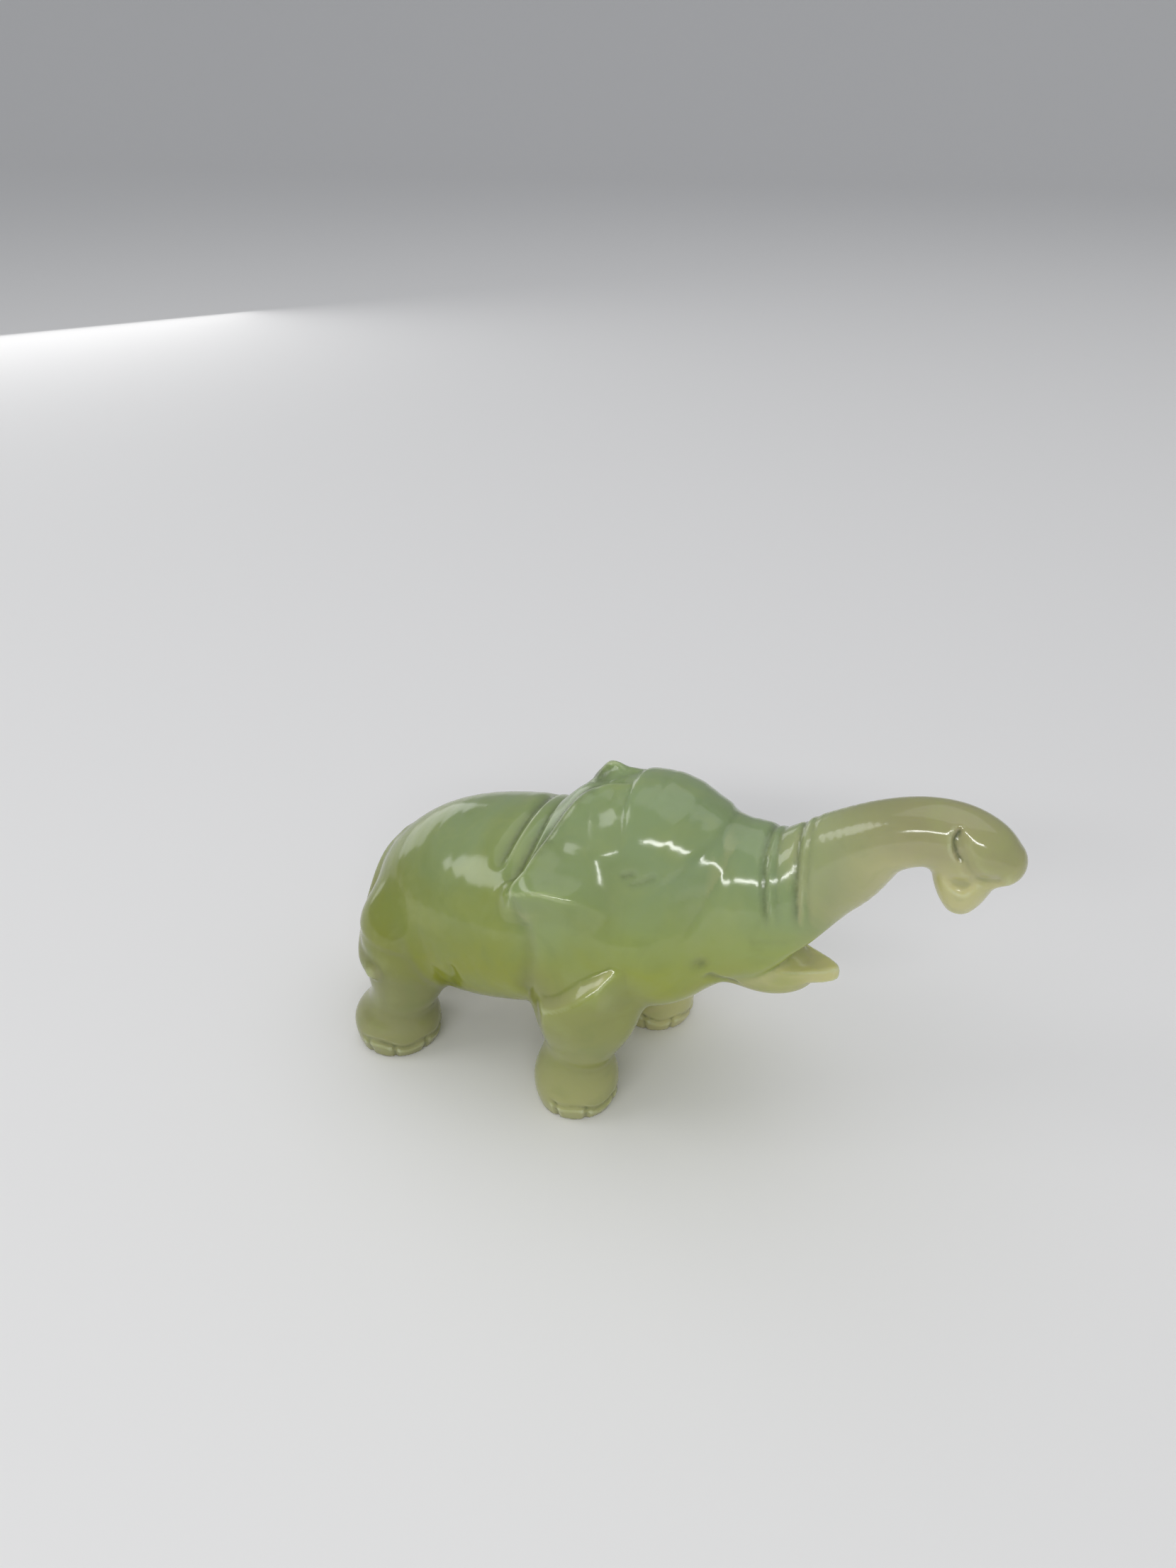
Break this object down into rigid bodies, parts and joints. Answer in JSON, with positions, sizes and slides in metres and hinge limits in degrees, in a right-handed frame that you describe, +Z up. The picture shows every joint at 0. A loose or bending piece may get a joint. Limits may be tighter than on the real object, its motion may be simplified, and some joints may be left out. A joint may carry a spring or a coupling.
{
  "type": "figurine",
  "caption": "Small elephant figurine carved from one piece of translucent pale green jade, with its trunk thrust forward and curled down at the end.",
  "frame": {"origin": "on the table under the middle of the figure: centre of the bounding box at the level of the soles", "axes": "+X forward from rump to trunk, +Y to the elephant's left, +Z up from the soles"},
  "size_m": [0.0993, 0.041, 0.0585],
  "materials": {
    "jade": "polished, translucent"
  },
  "bodies": {
    "root": {"torso": "jade", "head": "jade", "trunk": "jade", "trunk_end": "jade", "lower_jaw": "jade", "lower_lip": "jade", "ear_left": "jade", "ear_right": "jade", "leg_front_left": "jade", "leg_front_right": "jade", "leg_rear_left": "jade", "leg_rear_right": "jade", "foot_front_left": "jade", "foot_front_right": "jade", "foot_rear_left": "jade", "foot_rear_right": "jade", "tail": "jade"}
  },
  "joints": []
}
